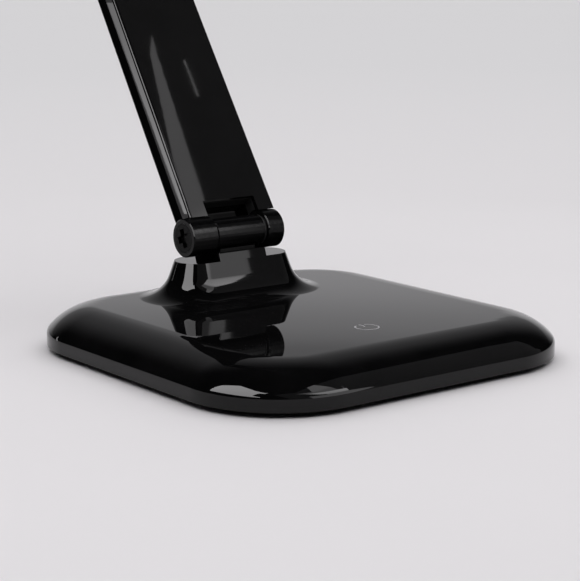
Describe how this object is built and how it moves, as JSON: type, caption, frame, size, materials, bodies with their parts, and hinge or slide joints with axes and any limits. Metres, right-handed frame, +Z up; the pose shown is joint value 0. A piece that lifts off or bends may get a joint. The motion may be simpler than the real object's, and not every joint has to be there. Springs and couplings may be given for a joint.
{
  "type": "desk lamp",
  "caption": "Folding desk lamp: rounded-square base with touch switch, flared neck with friction hinge, flat tapering arm and slim tilting light head.",
  "frame": {"origin": "centre of the base's outline, on the desk", "axes": "+Z up from the desk, -Y to the front where the touch mark is, +X to the user's right"},
  "size_m": [0.17, 0.3014, 0.3117],
  "materials": {
    "gloss_black": "high-gloss black moulded plastic",
    "matt_black": "fine-textured black plastic",
    "satin_plastic": "satin black plastic",
    "satin_hinge": "satin black anodised die casting",
    "black_steel": "satin blackened steel",
    "steel": "zinc-plated steel",
    "foot_rubber": "soft matt rubber",
    "foam_pad": "conductive foam",
    "board": "glass-fibre circuit board with green mask",
    "led_board_white": "circuit board with white mask",
    "led_yellow": "encapsulated light-emitting diode",
    "opal": "opal acrylic",
    "bare_aluminium": "plain rolled sheet",
    "bush_brass": "turned bush",
    "washer_nylon": "black nylon"
  },
  "bodies": {
    "base": {"base_top_shell": "gloss_black", "base_bottom_cover": "matt_black", "base_feet": "foot_rubber", "base_cover_screws": "steel", "base_counterweight": "steel", "counterweight_screws": "steel", "control_board": "board", "board_components": "matt_black", "control_board_screws": "steel", "touch_pad": "foam_pad", "dc_jack": "matt_black", "neck_hinge_block": "satin_hinge", "hinge_block_screws": "steel", "lower_pivot_bush": "bush_brass"},
    "arm": {"arm_back_shell": "gloss_black", "arm_front_cover": "gloss_black", "arm_lower_fork": "satin_hinge", "arm_upper_knuckle": "satin_hinge", "arm_screws": "steel", "arm_lead": "matt_black", "lower_pivot_bolt": "black_steel", "lower_pivot_nut": "steel", "lower_spring_washer": "steel", "lower_friction_washers": "washer_nylon", "lower_pivot_cap": "satin_plastic", "upper_pivot_bush": "bush_brass"},
    "head": {"head_fork": "satin_hinge", "head_housing": "gloss_black", "head_diffuser": "opal", "head_heat_spreader": "bare_aluminium", "led_board": "led_board_white", "leds": "led_yellow", "head_screws": "steel", "upper_pivot_bolt": "black_steel", "upper_pivot_nut": "steel", "upper_spring_washer": "steel", "upper_friction_washers": "washer_nylon", "upper_pivot_cap": "satin_plastic"}
  },
  "joints": [
    {"name": "arm_tilt", "type": "hinge", "parent": "base", "child": "arm", "pos_m": [0, 0.0444, 0.0433], "axis": [1, 0, 0], "range_deg": [-15, 123.5]},
    {"name": "head_tilt", "type": "hinge", "parent": "arm", "child": "head", "pos_m": [0, 0.2079, 0.29485], "axis": [1, 0, 0], "range_deg": [-84.5, 50.5]}
  ]
}
